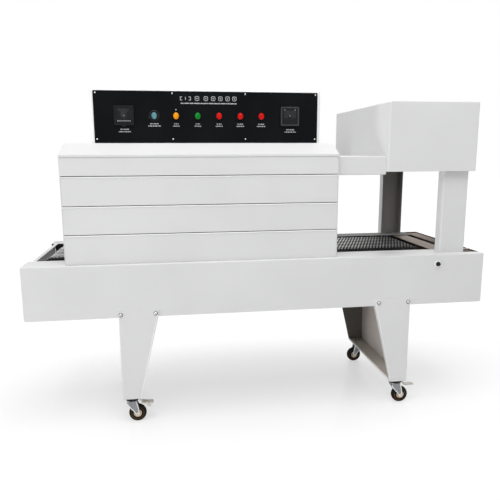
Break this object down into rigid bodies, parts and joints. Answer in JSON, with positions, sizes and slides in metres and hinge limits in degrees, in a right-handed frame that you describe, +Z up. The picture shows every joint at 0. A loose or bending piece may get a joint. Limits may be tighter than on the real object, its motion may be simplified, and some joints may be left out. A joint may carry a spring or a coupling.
{
  "type": "shrink wrapping machine",
  "caption": "Free-standing heat-shrink tunnel on a mesh belt conveyor, with a control box above, a cooling hood on posts at the outlet and leg frames on swivel casters.",
  "frame": {"origin": "centre of the overall box at floor level", "axes": "+X along the belt towards the outlet, -Y towards the operator side with the controls, +Z up"},
  "size_m": [2, 0.781, 1.407],
  "materials": {
    "white_paint": "semi-gloss powder coat",
    "belt_mesh": "dark wire mesh",
    "pan_black": "matt black heat-resistant coat",
    "bare_steel": "plain sheet",
    "black_bolt": "black oxide",
    "fascia_black": "satin",
    "instrument": "satin",
    "lamp_bezel": "gloss",
    "lens_clear": "translucent",
    "lens_amber": "translucent",
    "lens_green": "translucent",
    "lens_red": "translucent",
    "tyre": "matt",
    "hub": "satin",
    "zinc": "zinc plated"
  },
  "bodies": {
    "machine": {"bed_bottom_flanges": "white_paint", "bed_cover_front": "white_paint", "bed_cover_rear": "white_paint", "bed_end_left": "white_paint", "bed_end_right": "white_paint", "bed_rail_rear": "white_paint", "bed_side_front": "white_paint", "bed_side_rear": "white_paint", "belt": "belt_mesh", "belt_pan": "pan_black", "belt_rollers": "bare_steel", "caster_plates": "zinc", "chamber_ceiling": "white_paint", "control_box": "white_paint", "control_fascia": "fascia_black", "controller_left": "instrument", "controller_right": "instrument", "discharge_plate": "bare_steel", "hood": "white_paint", "hood_underside": "white_paint", "lamp_amber": "lens_amber", "lamp_bezels": "lamp_bezel", "lamp_clear": "lens_clear", "lamp_green": "lens_green", "lamps_red": "lens_red", "leg_left": "white_paint", "leg_right": "white_paint", "link_band": "white_paint", "post_front": "white_paint", "post_rear": "white_paint", "roller_journals": "black_bolt", "tunnel_back_wall": "white_paint", "tunnel_end_left": "white_paint", "tunnel_end_right": "white_paint", "tunnel_front_panel_1": "white_paint", "tunnel_front_panel_2": "white_paint", "tunnel_front_panel_3": "white_paint", "tunnel_front_panel_4": "white_paint", "tunnel_roof": "white_paint"},
    "swivel_front_left": {"caster_front_left_fork": "zinc", "caster_front_left_pedal": "zinc"},
    "wheel_front_left": {"caster_front_left_hub": "hub", "caster_front_left_tyre": "tyre"},
    "swivel_front_right": {"caster_front_right_fork": "zinc", "caster_front_right_pedal": "zinc"},
    "wheel_front_right": {"caster_front_right_hub": "hub", "caster_front_right_tyre": "tyre"},
    "swivel_rear_left": {"caster_rear_left_fork": "zinc"},
    "wheel_rear_left": {"caster_rear_left_hub": "hub", "caster_rear_left_tyre": "tyre"},
    "swivel_rear_right": {"caster_rear_right_fork": "zinc"},
    "wheel_rear_right": {"caster_rear_right_hub": "hub", "caster_rear_right_tyre": "tyre"}
  },
  "joints": [
    {"name": "swivel_front_left_turn", "type": "hinge", "parent": "machine", "child": "swivel_front_left", "pos_m": [-0.585, -0.3505, 0.111], "axis": [0, 0, 1], "continuous": true},
    {"name": "wheel_front_left_spin", "type": "hinge", "parent": "swivel_front_left", "child": "wheel_front_left", "pos_m": [-0.564, -0.3505, 0.0375], "axis": [0, 1, 0], "continuous": true},
    {"name": "swivel_front_right_turn", "type": "hinge", "parent": "machine", "child": "swivel_front_right", "pos_m": [0.62, -0.3505, 0.111], "axis": [0, 0, 1], "continuous": true},
    {"name": "wheel_front_right_spin", "type": "hinge", "parent": "swivel_front_right", "child": "wheel_front_right", "pos_m": [0.641, -0.3505, 0.0375], "axis": [0, 1, 0], "continuous": true},
    {"name": "swivel_rear_left_turn", "type": "hinge", "parent": "machine", "child": "swivel_rear_left", "pos_m": [-0.585, 0.1675, 0.111], "axis": [0, 0, 1], "continuous": true},
    {"name": "wheel_rear_left_spin", "type": "hinge", "parent": "swivel_rear_left", "child": "wheel_rear_left", "pos_m": [-0.606, 0.1675, 0.0375], "axis": [0, 1, 0], "continuous": true},
    {"name": "swivel_rear_right_turn", "type": "hinge", "parent": "machine", "child": "swivel_rear_right", "pos_m": [0.62, 0.1675, 0.111], "axis": [0, 0, 1], "continuous": true},
    {"name": "wheel_rear_right_spin", "type": "hinge", "parent": "swivel_rear_right", "child": "wheel_rear_right", "pos_m": [0.599, 0.1675, 0.0375], "axis": [0, 1, 0], "continuous": true}
  ]
}
